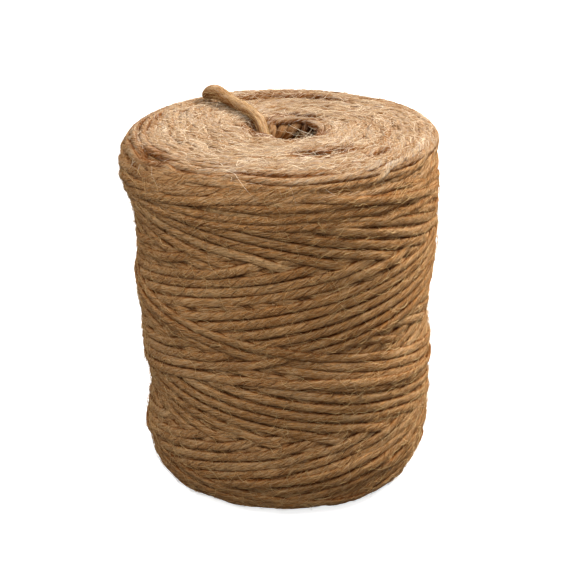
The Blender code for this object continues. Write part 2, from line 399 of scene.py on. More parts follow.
TURN_CELLS = 720                 # cells round the ball
CELL_HEIGHT = 0.4                # mm
LOWEST_CELL = -6.0
CELL_ROWS = 325
FACE_ROWS = 160                  # cells from the middle of a face outwards
ROW_HEIGHTS = LOWEST_CELL + CELL_HEIGHT * np.arange(CELL_ROWS)
HALF_WIDTH = 1.62                # mm, of a laid turn
BEARING_SHARE = 1.2 / HALF_WIDTH         # the part of it that bears on what is under it
HALF_THICKNESS = 1.40
OUTSIDE = -99.0                  # mm, stands for no twine in a cell
STROKE_SHIFT = 21.5              # degrees from one double stroke to the next
STROKE_SWEEP = 2 * 360.0 + STROKE_SHIFT / 2      # degrees in one stroke
NEWEST_ANGLE = 28.5              # where the newest stroke would turn at the top
STROKE_COUNT = 116               # double strokes from the spindle out
LOWEST_CENTRE = 1.76             # the centre of a turn that lies on the flat base
LAST_RADIUS = 48.0               # mm, of the centres of the last turns
TOP_BEND, BASE_BEND = 25.0, 33.0         # degrees in which the guide turns back
BEND_SCATTER = 14.0              # degrees by which it turns early or late
BEND_FADE = 150.0                # degrees over which that is made up again
SHARP_STROKES, CALM_STROKES = 12, 20     # the last strokes, which turn back more sharply, and more evenly
TOP_SCATTER, BASE_SCATTER = 0.55, 0.5    # mm by which strokes stop short of the faces
TOP_SHORT = 1.7                  # mm more at the top for the last strokes
STROKE_SCATTER = 0.22            # mm from one stroke to the next
DRIFT, DRIFT_STEPS = 0.3, 40     # mm of drift, and its changes along a stroke
CALM_END, LEVEL_END = 60.0, 26.0         # degrees at a stroke's ends that scatter less, and lie more level
STIFF_LENGTH = 9.0               # mm over which a turn bridges bumps
SLIDE_SPREAD, SLIDE_SHARE = 0.22, 0.8    # how a turn gives way to the side
PRESSED_IN = 0.3                 # mm that a turn sinks into those under it
GROWTH_ROOM = 0.4                # mm that the ball stays inside its finished form while it grows
EXCESS_SHARE = 0.8               # share that is pressed in of what the ball is too wide by
EXCESS_LIMITS = (-0.25, 1.6)     # mm, the least and the most that a turn is pressed in for it
OUTER_END = np.array([(300, 0), (325, 48.2), (348, 49.4), (360, 49.3), (372, 48.3), (390, 46.6), (420, 43.0),
                      (450, 38.6), (466, 36.0)])         # degrees from the front, and height
OUTER_END_START = 312            # degrees where the newest stroke takes up that line
TUCK_DEPTH, TUCK_SWEEP = 3.6, 16.0       # mm and degrees of its tip under its neighbours


def column(values, height):
    """Values of the side table at each height, eased between its rows by half a cosine and half a line."""
    edges = SIDE_SECTIONS[:, 0]
    row = np.clip(np.searchsorted(edges, height) - 1, 0, len(edges) - 2)
    share = np.clip((height - edges[row]) / (edges[row + 1] - edges[row]), 0, 1)
    eased = ((1 - np.cos(np.pi * share)) / 2 + share) / 2
    return values[row] * (1 - eased) + values[row + 1] * eased


def side_radius(height):
    """Mean radius of the ball before its shoulders are rounded."""
    return column(SIDE_SECTIONS[:, 1:].mean(axis=1), height)


def shoulders():
    """Radius and height down the upper shoulder and down the lower one, each a quarter of an oval."""
    turn = np.linspace(np.pi / 2, 0, 60)
    upper = BALL_HEIGHT - TOP_ROUND_DOWN * (1 - np.sin(turn))
    lower = BASE_ROUND_UP * (1 - np.sin(turn[::-1]))
    return ((side_radius(upper) - TOP_ROUND_ACROSS * (1 - np.cos(turn)), upper),
            (side_radius(lower) - BASE_ROUND_ACROSS * (1 - np.cos(turn[::-1])), lower))


(upper_radius, upper_height), (lower_radius, lower_height) = shoulders()


def rounded_radius(height):
    """Mean outer radius of the ball with its shoulders rounded."""
    upper = np.interp(height, upper_height[::-1], upper_radius[::-1])
    lower = np.interp(height, lower_height[::-1], lower_radius[::-1])
    radius = np.where(height > upper_height[-1], upper, side_radius(np.clip(height, 0, BALL_HEIGHT)))
    return np.where(height < lower_height[0], lower, radius)


def lip(radius):
    """How far the hole's lip, nearly a quarter oval, has fallen away from the flat face at a radius."""
    across = np.clip((HOLE_RADIUS + LIP_ACROSS - radius) / LIP_ACROSS, 0, 1)
    return LIP_DOWN * (1 - np.sqrt(1 - 0.98 * across ** 2))


def top_height(radius):
    """Height of the finished top at a radius."""
    return np.interp(radius, upper_radius, upper_height) - lip(radius)


def base_height(radius):
    """Height of the finished base at a radius."""
    return np.interp(radius, lower_radius[::-1], lower_height[::-1]) + lip(radius)


def softened(values, reach):
    """Values averaged over a bell-shaped window that reaches that many samples each way."""
    window = np.hanning(2 * reach + 3)[1:-1]
    return np.convolve(np.pad(values, reach, mode="edge"), window / window.sum(), mode="valid")


def cell_of(angle):
    """Number of the cell round the ball that an angle falls in."""
    return np.floor(angle / 360 * TURN_CELLS).astype(int) % TURN_CELLS


def arch(across, rise):
    """Half an oval over the shares from -1 to 1, with the given rise, and far below it outside them."""
    return np.where(across ** 2 < 1, rise * np.sqrt(np.clip(1 - across ** 2, 0, 1)), OUTSIDE)


def stroke_path(turned, climbing, top, base, round_top, round_base, late_top, late_base):
    """Height along one stroke of the guide, and the angle to its nearer end.

    The stroke is a straight climb or fall with a rounded turn at each end. Each turn is a
    hyperbola in the turned angle. It may come late by some degrees, which fades out along the
    stroke. One end passes smoothly into the other over the middle three fifths.
    """
    from_base = turned if climbing else STROKE_SWEEP - turned
    from_top = STROKE_SWEEP - from_base
    sign = 1.0 if climbing else -1.0
    lead = (top - base) / (STROKE_SWEEP - round_top - round_base)
    past_top = from_top + sign * late_top * np.exp(-(from_top / BEND_FADE) ** 2)
    past_base = from_base - sign * late_base * np.exp(-(from_base / BEND_FADE) ** 2)
    upper = top - lead * (np.sqrt(past_top ** 2 + round_top ** 2) - round_top)
    lower = base + lead * (np.sqrt(past_base ** 2 + round_base ** 2) - round_base)
    share = np.clip((from_base / STROKE_SWEEP - 0.2) / 0.6, 0, 1)
    share = share ** 2 * (3 - 2 * share)
    return upper * share + lower * (1 - share), np.minimum(from_base, from_top)


def bearing_height(field, cell, height, half_width, offset):
    """Where the centre of a round section rests on the field, moved sideways by an offset in cells.

    With it come the rows of cells that the section covers and how far they lie from its centre.
    """
    reach = int(np.ceil(half_width.max() / CELL_HEIGHT)) + 3
    span = np.arange(-reach, reach + 1)
    place = (height - LOWEST_CELL) / CELL_HEIGHT
    nearest = np.round(place).astype(int)
    rows = np.clip(nearest[:, None] + span[None, :], 0, CELL_ROWS - 1)
    away = ((nearest - place)[:, None] + span[None, :] - offset) * CELL_HEIGHT
    section = arch(away / (half_width[:, None] * BEARING_SHARE), HALF_THICKNESS)
    return (field[cell[:, None], rows] + section).max(axis=1), rows, away


def wind_ball(seed):
    """Angle, height and radius of the centre of the twine along its whole length, and the field it leaves.

    The field holds the outer radius on a grid of angle and height. Each stroke slides
    sideways towards the lower ground near it, rests on the field, presses into its bumps,
    and is then added to the field. Where the ball grows faster than its finished form asks
    for, the stroke is pressed in deeper.
    """
    chance = np.random.default_rng(seed)
    field = np.full((TURN_CELLS, CELL_ROWS), HOLE_RADIUS)
    final = rounded_radius(np.clip(ROW_HEIGHTS, 0, BALL_HEIGHT))
    samples = int(round(STROKE_SWEEP / 360 * TURN_CELLS))
    turned = (np.arange(samples) + 0.5) / samples * STROKE_SWEEP
    wander = softened(chance.normal(0, 1, (2 * STROKE_COUNT + 4) * DRIFT_STEPS), 6)
    wander /= wander.std()
    offsets = np.arange(-3, 4)
    parts = []
    last_base = last_late = 0.0
    for age in range(STROKE_COUNT, -1, -1):
        grown = 1 - age / STROKE_COUNT
        middle = HOLE_RADIUS + (LAST_RADIUS - HOLE_RADIUS) * grown

        # The guide turns back over a wider angle while the ball is thin.
        widen = (LAST_RADIUS / middle) ** 0.55 * (1 + 0.7 * min(1.0, age / SHARP_STROKES))
        late_top = chance.normal(0, BEND_SCATTER) * min(1.0, age / CALM_STROKES)
        loosened = -abs(chance.normal(0, TOP_SCATTER)) * (0.5 + 0.5 * grown)
        top = top_height(middle * 1.02 + 1.0) - HALF_WIDTH - TOP_SHORT * grown ** 6 + loosened
        next_base = (base_height(middle * (1 - 0.06 * grown)) + HALF_WIDTH
                     + abs(chance.normal(0, BASE_SCATTER)))
        next_late = chance.normal(0, BEND_SCATTER) * min(1.0, age / CALM_STROKES)
        for climbing in ((True, False) if age else (True,)):
            base, late_base = (last_base, last_late) if climbing and parts else (next_base, next_late)
            height, near_end = stroke_path(turned, climbing, top, base, TOP_BEND * widen, BASE_BEND * widen,
                                           late_top, late_base)
            settled = np.clip(near_end / CALM_END, 0, 1)
            drift = np.interp(np.arange(samples) / samples * (DRIFT_STEPS - 2), np.arange(DRIFT_STEPS),
                              wander[(2 * age + climbing) * DRIFT_STEPS:][:DRIFT_STEPS])
            height = (height + chance.normal(0, STROKE_SCATTER) * settled
                      + DRIFT * drift * (0.3 + 0.7 * settled))
            angle = NEWEST_ANGLE - STROKE_SHIFT * age - (STROKE_SWEEP if climbing else 0.0) + turned
            if age == 0:
                from_front = turned + (NEWEST_ANGLE - STROKE_SWEEP) % 360
                end = OUTER_END.copy()
                end[0, 1] = np.interp(end[0, 0], from_front, height)
                bent = softened(np.interp(from_front, end[:, 0], end[:, 1]), 14)
                height = np.where(from_front > OUTER_END_START, bent, height)
                keep = from_front < end[-1, 0]
                angle, height, near_end = angle[keep], height[keep], near_end[keep]

            # A turn slides to where it would lie lowest, and its bearing is evened out by its stiffness.
            cell = cell_of(angle)
            lean = np.arctan((top - base) / STROKE_SWEEP * 360 / (2 * np.pi * middle))
            step = 2 * np.pi * middle / TURN_CELLS / np.cos(lean)
            half_width = HALF_WIDTH / np.cos(lean * np.clip(near_end / LEVEL_END, 0, 1))
            reach = max(2, int(round(STIFF_LENGTH / step)))
            rests = np.array([softened(bearing_height(field, cell, height, half_width, offset)[0], reach)
                              for offset in offsets])
            weight = np.exp(-(rests - rests.min(axis=0)) / SLIDE_SPREAD)
            slide = (weight * offsets[:, None]).sum(axis=0) / weight.sum(axis=0) * CELL_HEIGHT
            height = height + SLIDE_SHARE * softened(slide, reach)
            rest, rows, away = bearing_height(field, cell, height, half_width, 0)
            rest = softened(rest - PRESSED_IN, max(2, int(round(STIFF_LENGTH / 2 / step))))
            excess = np.interp(height, ROW_HEIGHTS, field.mean(axis=0) - HOLE_RADIUS
                               - (final - GROWTH_ROOM - HOLE_RADIUS) * grown)
            rest = rest - np.clip(EXCESS_SHARE * excess, *EXCESS_LIMITS)
            if age == 0:
                rest = rest - TUCK_DEPTH * np.clip((angle - angle[-1] + TUCK_SWEEP) / TUCK_SWEEP, 0, 1) ** 2
            outer = rest[:, None] + arch(away / half_width[:, None], HALF_THICKNESS)
            field[cell[:, None], rows] = np.maximum(field[cell[:, None], rows], outer)
            parts.append(np.stack([angle, height, rest], axis=1))
        last_base, last_late = next_base, next_late
    path = np.concatenate(parts)
    path[:, 2] = softened(path[:, 2], 4)
    path[:, 1] = softened(path[:, 1], 4)
    return path, field


def blur_matrix(places, spread, around=None):
    """Weights that average values at the places over a bell of that spread, round a circle if it is given."""
    apart = places[:, None] - places[None, :]
    if around:
        apart = (apart + around / 2) % around - around / 2
    weight = np.exp(-(apart / spread) ** 2 / 2)
    return weight / weight.sum(axis=1, keepdims=True)


MEAN_UNDER_CROWN = 1.2           # mm from the crowns of the turns in to their average outer radius
FIT_SHARE = 0.88                 # of what the ball lacks that is made up
WHOLE_HEIGHTS = (6.5, 111.5)     # mm between which the turns fill the side, so that the average holds


def fit_to_form(path, field):
    """The path with the broad swells of the winding evened out to the finished form of the ball.

    The outer radius is averaged over about 10 degrees by 5 mm, and nearly all of what that lacks
    against the finished form is added to each turn at the outside, and nothing at the hole.
    """
    cells = np.arange(TURN_CELLS) * 360 / TURN_CELLS
    level = np.clip(ROW_HEIGHTS, *WHOLE_HEIGHTS)
    clean = field[:, np.round((level - LOWEST_CELL) / CELL_HEIGHT).astype(int)]
    broad = blur_matrix(cells, 5.0, 360.0) @ clean @ blur_matrix(ROW_HEIGHTS, 2.6).T
    lacking = (rounded_radius(level) - MEAN_UNDER_CROWN - broad) * FIT_SHARE
    cell = cell_of(path[:, 0])
    row = np.clip(np.round((path[:, 1] - LOWEST_CELL) / CELL_HEIGHT).astype(int), 0, CELL_ROWS - 1)
    depth = np.clip((path[:, 2] - HOLE_RADIUS) / (broad[cell, row] - HOLE_RADIUS), 0, 1)
    moved = path.copy()
    moved[:, 2] += softened(lacking[cell, row] * depth ** 2, 3)
    moved[:, 1] = np.clip(moved[:, 1], LOWEST_CENTRE, BALL_HEIGHT - LOWEST_CENTRE)
    return moved


SIDE_TRIM = np.array([           # height, and how far the left and the right side stand out further
    (0.0, 0.3, 0.0),
    (20.0, 0.5, 0.1),
    (40.0, 0.7, 0.2),
    (60.0, 0.8, 0.3),
    (80.0, 0.8, 0.3),
    (95.0, 0.6, 0.4),
    (104.0, 0.2, -0.2),
    (112.0, -0.1, -0.7),
    (117.0, -0.2, -0.7),
])
FOOT_HEIGHT = 14.0               # mm of the lowest side that swells and shrinks round the ball
FOOT_SWELLS = ((1.5, 32, 35), (1.5, -48, 28))    # mm, degrees from the front, half its width in degrees
FOOT_SHRINK = 0.5                # mm, all round it
AXIS_PASSED = 1.6                # how much sooner than at the outside the turns lie round the ball's own axis


def place(angle, height, radius):
    """Points in metres for an angle from the front towards the right, a height and a radius in the ball.

    The ball's left and right sides differ by the side tables, its foot swells out in two
    places, and its turns lie round the hole near the hole and round the ball's own axis
    further out.
    """
    level = np.clip(height, 0, BALL_HEIGHT)
    depth = np.clip((radius - HOLE_RADIUS) / (side_radius(level) - HOLE_RADIUS), 0, 1)
    half_difference = column((SIDE_SECTIONS[:, 2] - SIDE_SECTIONS[:, 1]) / 2, level)
    turn = np.radians(angle)
    from_front = (np.degrees(turn) + 180) % 360 - 180
    swell = sum(out * np.exp(-((from_front - middle) / half) ** 2) for out, middle, half in FOOT_SWELLS)
    foot = np.clip(1 - height / FOOT_HEIGHT, 0, 1) * (swell - FOOT_SHRINK)
    left, right = (np.interp(height, SIDE_TRIM[:, 0], SIDE_TRIM[:, side]) for side in (1, 2))
    trim = foot + np.where(np.sin(turn) < 0, left, right) * abs(np.sin(turn))
    radius = radius + (half_difference * np.sin(turn) + trim) * depth
    middle = HOLE_PLACE + (AXIS_PLACE - HOLE_PLACE) * np.clip(depth * AXIS_PASSED, 0, 1)[..., None]
    return np.stack([middle[..., 0] + radius * np.sin(turn), middle[..., 1] - radius * np.cos(turn),
                     height], axis=-1) * MM


def edge_field(angle, other, value, low, rows, reach):
    """How far each point of the twine lies below the outermost twine in its cells, and the outermost there.

    The cells are of angle and of the other measure, and each point covers those within its reach.
    """
    field = np.full((TURN_CELLS, rows), -999.0)
    cell = cell_of(angle)
    span = np.arange(-4, 5)
    row = np.clip(np.round((other - low) / CELL_HEIGHT).astype(int)[:, None] + span[None, :], 0, rows - 1)
    own = value[:, None] + arch(span * CELL_HEIGHT / reach, HALF_WIDTH)[None, :]
    np.maximum.at(field, (np.broadcast_to(cell[:, None], row.shape), row), own)
    return (own - field[cell[:, None], row]).max(axis=1), field


OUTLINE_STEP = 0.5               # mm


def outer_outline():
    """Radius and height at every step along the finished outline, its outward direction and distance there.

    It runs from the upper lip of the hole out over the top, down the side and in along the base.
    """
    heights = np.linspace(upper_height[-1], lower_height[0], 200)[1:-1]
    inner = HOLE_RADIUS + LIP_ACROSS
    radius = np.concatenate([[inner], upper_radius, side_radius(heights), lower_radius, [inner]])
    height = np.concatenate([[BALL_HEIGHT], upper_height, heights, lower_height, [0.0]])
    walked = np.concatenate([[0.0], np.cumsum(np.hypot(np.diff(radius), np.diff(height)))])
    places = np.arange(0, walked[-1], OUTLINE_STEP)
    radius, height = (softened(np.interp(places, walked, part), 3) for part in (radius, height))
    ahead = unit(np.stack([np.gradient(radius), np.gradient(height)], axis=1))
    return np.stack([radius, height], axis=1), np.stack([-ahead[:, 1], ahead[:, 0]], axis=1), places


outline, outline_out, outline_walked = outer_outline()


TOP_HOLLOWS = np.array([         # middle angle, radius, half angle, half width and depth
    (-171.0, 37.8, 16.0, 2.8, 4.4),
    (163.0, 36.4, 16.0, 2.0, 3.6),
    (22.0, 29.4, 16.0, 2.6, 3.8),
    (-56.0, 48.0, 9.0, 1.6, 2.2),
    (164.0, 14.3, 24.0, 1.4, 3.4),
    (-71.0, 11.6, 14.0, 1.7, 3.0),
    (-105.0, 10.5, 42.0, 2.6, 1.8),
    (10.0, 11.0, 62.0, 2.6, 1.4),
    (46.0, 39.0, 8.0, 1.3, 1.8),
])
TURN_OUT = 1.30                  # mm from the centre line of a turn to its flattened outer side
TURN_HALF = 1.64                 # mm, half its width
KEPT, KEPT_LESS = 0.35, 0.2      # share kept of how far a turn stands off its place, and less on a shoulder
MOST_OFF = 1.6                   # mm of it that count
COVER_SHARE, MOST_COVER = 0.85, 3.2      # share and mm of its cover that push a turn in
FREE_DEPTH = 4.0                 # mm of cover under which a turn stays as it was wound


def hollows(angle, radius):
    """How far the turns of the top have sunk at a place: short grooves between rings, each a smooth bell."""
    sunk = np.zeros(np.broadcast(angle, radius).shape)
    for middle, ring, half_angle, half_width, depth in TOP_HOLLOWS:
        away = (angle - middle + 180) % 360 - 180
        bell = np.exp(-(away / half_angle) ** 4 - ((radius - ring) / half_width) ** 2)
        sunk = np.maximum(sunk, depth * bell)
    return sunk


def press_to_form(angle, height, radius, gap, in_hole):
    """Heights, radii and facing directions with the turns that show brought level just inside the outline.

    Each point goes to the nearest point of the outline set in by half the twine, and keeps about
    a third of how far it stood off it, or less on the shoulders. What lies over a turn pushes it
    in by the depth of its cover, and the hollows of the top sink it.
    """
    out = outline_out
    line = outline - out * TURN_OUT
    cover = COVER_SHARE * softened(np.clip(gap, -MOST_COVER, 0.0), 10)
    point = np.stack([radius, height], axis=1)
    nearest = np.concatenate([np.argmin(((part[:, None] - line[None]) ** 2).sum(axis=2), axis=1)
                              for part in np.array_split(point, len(point) // 4000 + 1)])
    off = ((point - line[nearest]) * out[nearest]).sum(axis=1)
    on_shoulder = 1 - abs(2 * np.clip(out[nearest, 1], 0, 1) - 1) ** 4
    kept = (KEPT - KEPT_LESS * on_shoulder) * np.clip(off, -MOST_OFF, MOST_OFF) + cover
    shift = np.where(((gap > -FREE_DEPTH) & ~in_hole)[:, None], out[nearest] * (kept - off)[:, None], 0.0)
    facing = np.where(in_hole[:, None], [-1.0, 0.0], out[nearest])
    shift, facing = (np.stack([softened(both[:, 0], 6), softened(both[:, 1], 6)], axis=1)
                     for both in (shift, facing))
    radius, height = radius + shift[:, 0], height + shift[:, 1]
    sink = hollows(angle, radius) * np.clip(facing[:, 1], 0, 1)
    return height - sink, radius, facing, sink


def whole_section(*half):
    """A ring from the points of its right half, from the crown to the widest place, and one point below."""
    half = np.array(half)
    return np.concatenate([half, [(0.0, -0.75)], half[:0:-1] * (-1, 1)])


FLAT_SECTION = whole_section((0.0, 0.75), (0.42, 0.73), (0.77, 0.63), (0.95, 0.40), (1.0, 0.0))
ROUND_SECTION = whole_section((0.0, 0.96), (0.28, 0.93), (0.54, 0.84), (0.77, 0.65), (0.93, 0.36),
                              (1.0, -0.05))
FULL_SECTION = whole_section((0.0, 0.90), (0.5, 0.80), (0.87, 0.46), (1.0, -0.05))
SHOWN_DEPTH = 1.0                # mm of cover under which a turn is still made
RUN_MARGIN = 3.5 * MM            # how far a made stretch goes on under its neighbours
SHORTEST_RUN = 7.0 * MM
HOLE_TURNS = 15                  # mm from the axis within which a turn may belong to the hole
FACE_SHARE = 0.3                 # of its length that shows on a face, past which a run may belong to it
DARK_RADIUS, DARK_HEIGHT = 13.2, 114.6           # mm, where painted shade begins on the turns in the hole
DARK_FADE = 3.0                  # mm down to where that painted shade is full
SLUB_LENGTH = 6 * MM             # over which the yarn is thicker or thinner
SLUB, SLUB_TONE, RUN_TONE = 0.05, 0.05, 0.05     # how much of its radius, and how far its tone varies
SLUB_SHIFT = 2.0 * MM            # by which its lay varies with it
TURN_ROUGH = 0.025


def visible_runs(shown, travelled):
    """Start and end, in distance along the twine, of each stretch that shows, with its hidden margins."""
    place_shown = travelled[shown]
    gap_after = np.flatnonzero(np.diff(place_shown) > 2 * RUN_MARGIN)
    starts = place_shown[np.concatenate([[0], gap_after + 1])] - RUN_MARGIN
    ends = place_shown[np.concatenate([gap_after, [len(place_shown) - 1]])] + RUN_MARGIN
    starts, ends = np.clip(starts, 0, travelled[-1]), np.clip(ends, 0, travelled[-1])
    long_enough = ends - starts > SHORTEST_RUN
    return starts[long_enough], ends[long_enough]


def spread_along(starts, ends, step):
    """Distances along the twine every step in each run, and the run that each belongs to."""
    counts = np.maximum(np.round((ends - starts) / step).astype(int), 4) + 1
    run = np.repeat(np.arange(len(starts)), counts)
    within = np.arange(len(run)) - np.repeat(np.cumsum(counts) - counts, counts)
    return starts[run] + (ends - starts)[run] * within / (counts[run] - 1), run


def all_gaps():
    """How far each point of the twine lies under cover as seen from the side, the top, the base and the hole,
    and the outermost twine on each of those sides."""
    round_side = (LOWEST_CELL, CELL_ROWS, HALF_WIDTH)
    flat_face = (0.0, FACE_ROWS, HALF_THICKNESS)
    gaps, outer = zip(*(edge_field(angle, *view) for view in (
        (height, radius, *round_side), (radius, height, *flat_face), (radius, -height, *flat_face),
        (height, -radius, *round_side))))
    return np.array(gaps), outer


def seen_share(side):
    """For each run, the share of its length that shows on that side of the ball."""
    total = np.cumsum((gaps[side] > -SHOWN_DEPTH) * np.gradient(travelled))
    seen = np.interp(run_ends, travelled, total) - np.interp(run_starts, travelled, total)
    return seen / (run_ends - run_starts)


def middle_of(values):
    """Value halfway along each run."""
    return np.interp((run_starts + run_ends) / 2, travelled, values)


def top_light_share(up):
    """How much painted top light and sheen yarn gets, from nothing where it faces sideways to 1 where it
    faces up.
    """
    return np.clip(up * 1.1, 0, 1) ** 1.2


def outwards(angle, level, up):
    """Directions at an angle from the front that point away from the axis by level, and upwards by up."""
    turn = np.radians(angle)
    return np.stack(np.broadcast_arrays(np.sin(turn) * level, -np.cos(turn) * level, up), axis=-1)


def make_turns(name, chosen, step, section, relief):
    """The chosen runs of the twine as one piece, a little thicker and thinner along their length."""
    places, run = spread_along(run_starts[chosen], run_ends[chosen], step)
    centres = read_off(places, travelled, points)
    level, up = read_off(places, travelled, facing).T
    slub = np.interp(places, slub_places, slub_values)
    slub_back = np.interp(places, slub_places, slub_values[::-1])
    # Painted shade: deep in the hole, and where a turn has sunk into a hollow of the top.
    from_hole = np.hypot(*(centres[:, :2] / MM - HOLE_PLACE).T)
    below = (DARK_HEIGHT - centres[:, 2] / MM) / DARK_FADE
    painted_hole_shade = np.clip(DARK_RADIUS - from_hole, 0, 1) * np.clip(below, 0, 1)
    sunk = np.maximum(np.clip(np.interp(places, travelled, sink), 0, 1), painted_hole_shade)
    make_piece(name, "wound_ball", *twine_surface(
        centres, outwards(np.interp(places, travelled, angle_total), level, up), run,
        places + SLUB_SHIFT * slub, TURN_HALF * MM * (1 + SLUB * slub),
        tone=run_tone[np.flatnonzero(chosen)][run] + SLUB_TONE * slub_back, brushed=top_light_share(up), sunk=sunk,
        rough=TURN_ROUGH, section=section, relief=relief, lay=TWINE_LAY), wound_jute)


angle, height, radius = fit_to_form(*wind_ball(5)).T
gaps = all_gaps()[0]
outside_gap = gaps[:3].max(axis=0)
in_hole = gaps[3] > outside_gap + 0.2
height, radius, facing, sink = press_to_form(angle, height, radius, outside_gap, in_hole)
side_outer, top_outer, base_outer = all_gaps()[1][:3]
points = place(angle, height, radius)
travelled = distances(points)
run_starts, run_ends = visible_runs((gaps > -SHOWN_DEPTH).any(axis=0), travelled)

wound_jute = jute_material("wound_jute_yarn", groove_shade=0.55, groove_lift=0.30)
chance = np.random.default_rng(11)
run_tone = chance.normal(0, RUN_TONE, len(run_starts))
angle_total = np.degrees(np.unwrap(np.radians(angle)))
slub_places = np.arange(0, travelled[-1], SLUB_LENGTH)
slub_values = softened(chance.normal(0, 1, len(slub_places)), 1)
share = np.array([seen_share(side) for side in range(4)])
run_height = middle_of(height)
on_hole = (middle_of(radius) < HOLE_TURNS) & (share[3] > share[:3].max(axis=0))
on_top = ~on_hole & (share[1] > FACE_SHARE) & (share[0] < share[1])
on_base = ~on_hole & ~on_top & (share[2] > FACE_SHARE) & (share[0] < share[2])
on_side = ~on_hole & ~on_top & ~on_base
for name, foot, head in (("upper", 78, np.inf), ("middle", 40, 78), ("lower", -np.inf, 40)):
    make_turns(name + "_side_turns", on_side & (run_height > foot) & (run_height <= head),
               step=1.4 * MM, section=FLAT_SECTION, relief=0.08)
make_turns("top_face_turns", on_top, step=0.8 * MM, section=ROUND_SECTION, relief=0.24)
make_turns("base_face_turns", on_base, step=2.0 * MM, section=FLAT_SECTION, relief=0.06)
make_turns("hole_turns", on_hole, step=3.0 * MM, section=FULL_SECTION, relief=0.06)


# Turns of the layer beneath, of the same jute, which show between the outer ones on the upper
# shoulder, and three loops of the first turns, which bend over inside the hole behind its lip.

BENEATH = 0.35                   # mm from the outer turns down to these
SPIRAL_STEP = 3.25               # mm from one turn of the spiral to the next
SPIRAL_RADIUS, SPIRAL_HEIGHT = 39.0, 98.0        # where it begins on the top and ends on the side
LOOP_RISE = np.array([           # radius from the middle of the hole, height and turn onwards of one loop
    (9.9, 106.6, 66.0),
    (9.4, 108.0, 46.0),
    (8.9, 109.6, 27.0),
    (8.6, 111.5, 10.0),
    (9.7, 113.7, -2.0),
    (11.9, 113.6, -7.0),
    (13.8, 111.8, -11.0),
    (14.8, 109.0, -14.0),
])
LOOP_ANGLES = [169.0, -169.0, -144.0]
LOOP_HALF = 1.75 * MM
LOOP_LAY = 34 * MM               # bent so sharply, they have opened their twist
LOOP_SHADE_TOP, LOOP_FADE = 0.1132, 0.0026             # m, height below which painted shade darkens the loops, and over how much it grows full
UNDER_ROUGH, UNDER_RELIEF = 0.03, 0.06


def shoulder_spiral():
    """Centre line, facing and sinking of a spiral along the outline, one step further in each turn."""
    inner = outline_walked[np.argmin(abs(outline[:200, 0] - SPIRAL_RADIUS))]
    outer = outline_walked[np.argmin(abs(outline[:200, 1] - SPIRAL_HEIGHT))]
    angle = np.arange(0, (outer - inner) / SPIRAL_STEP * 360, 1.6)
    drift = softened(np.random.default_rng(3).normal(0, 1.6, len(angle)), 14)
    at = inner + angle / 360 * SPIRAL_STEP + drift
    radius, height = read_off(at, outline_walked, outline - outline_out * (TURN_OUT + BENEATH)).T
    level, up = read_off(at, outline_walked, outline_out).T
    sink = hollows(angle, radius) * up
    return place(angle, height - sink, radius), outwards(angle, level, up), sink


def hole_loops(angles):
    """Centre lines, facings and run numbers of the loops that stand at the given angles round the hole."""
    lines = []
    for angle in angles:
        turn = np.radians(angle + LOOP_RISE[:, 2])
        loop = np.stack([HOLE_PLACE[0] + LOOP_RISE[:, 0] * np.sin(turn),
                         HOLE_PLACE[1] - LOOP_RISE[:, 0] * np.cos(turn), LOOP_RISE[:, 1]], axis=1)
        lines.append(smooth_line(loop * MM, 0.8 * MM))
    counts = [len(line) for line in lines]
    facing = outwards(np.repeat(angles, counts), -1.0, 0.8)
    return np.concatenate(lines), facing, np.repeat(np.arange(len(lines)), counts)


spiral, spiral_facing, spiral_sink = shoulder_spiral()
# Where it sinks into the hollows of the top it gets painted shade, and facing up, painted top light and
# sheen.
make_piece("shoulder_under_turns", "wound_ball", *twine_surface(
    spiral, spiral_facing, np.zeros(len(spiral), int), distances(spiral), TURN_HALF * MM, tone=-0.1,
    brushed=top_light_share(spiral_facing[:, 2]), sunk=np.clip(spiral_sink, 0, 1), rough=UNDER_ROUGH,
    section=FULL_SECTION, relief=UNDER_RELIEF, lay=TWINE_LAY), wound_jute)
loops, loop_facing, loop_run = hole_loops(LOOP_ANGLES)
# Painted shade grows down the loops into the hole: they are darker there and lose their painted top light.
loop_shade = np.clip((LOOP_SHADE_TOP - loops[:, 2]) / LOOP_FADE, 0, 1)
make_piece("hole_loops", "wound_ball", *twine_surface(
    loops, loop_facing, loop_run, distances(loops), LOOP_HALF, tone=-0.2, brushed=0.45 - 0.4 * loop_shade,
    sunk=np.maximum(0.2, loop_shade), rough=UNDER_ROUGH, section=ROUND_SECTION, relief=UNDER_RELIEF,
    lay=LOOP_LAY), wound_jute)


# Inside of the ball. The turns that no gap shows are left out. One closed surface lies under
# those that show, ribbed like the turns of the layer beneath them, in darker brown yarn with painted shade.

RIB = 3.3                        # mm from one turn of the layer beneath to the next
RIB_DEPTH = 1.25                 # mm from the outside of the ball to their crowns
RIB_GROOVE = 1.0                 # mm more to the grooves between them
WALL_OUT = 3.0                   # mm from the wall of the hole to the inner surface behind it
WALL_ROWS, WALL_SHORT = 12, 4.0          # its rows, and mm by which it ends short of the faces
LIP_LEFT = 3.0                   # mm of the outline beside the hole that it leaves out


